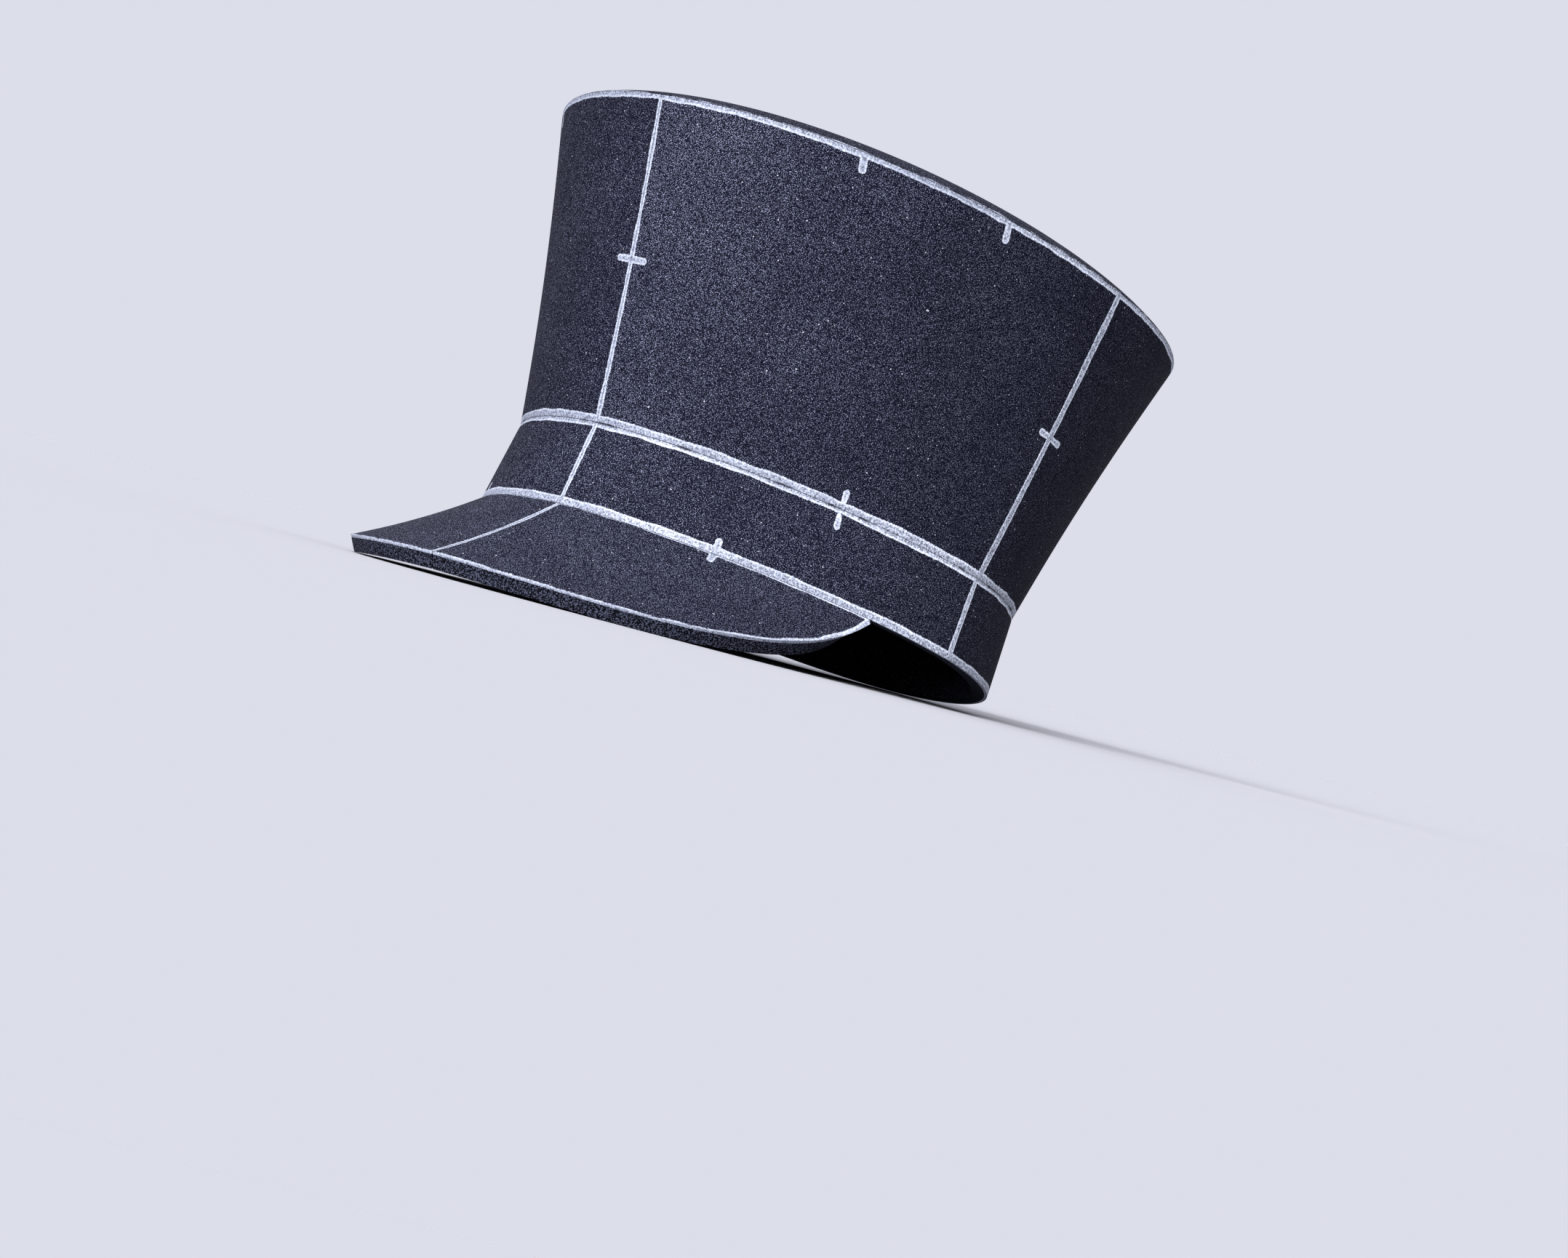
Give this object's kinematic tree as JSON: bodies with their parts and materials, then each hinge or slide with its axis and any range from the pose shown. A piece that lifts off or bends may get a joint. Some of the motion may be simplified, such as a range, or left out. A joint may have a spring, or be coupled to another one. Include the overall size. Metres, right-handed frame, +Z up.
{
  "type": "parade hat",
  "caption": "Peaked parade hat glued up from bent foam sheet: a low head band, a crown wall that flares to a puffed top, and a peak over the eyes.",
  "frame": {"origin": "on the surface that the hat stands on, under the middle of its bounding box", "axes": "+Z up, -Y towards the peak, +X towards the wearer's left"},
  "size_m": [0.21, 0.3098, 0.1735],
  "materials": {
    "foam": "matte charcoal foam sheet with silver pen lines along its seams"
  },
  "bodies": {
    "root": {"band_front_left": "foam", "band_front_right": "foam", "band_back": "foam", "crown_front_left": "foam", "crown_front_right": "foam", "crown_back": "foam", "crown_top": "foam", "visor_left": "foam", "visor_right": "foam"}
  },
  "joints": []
}
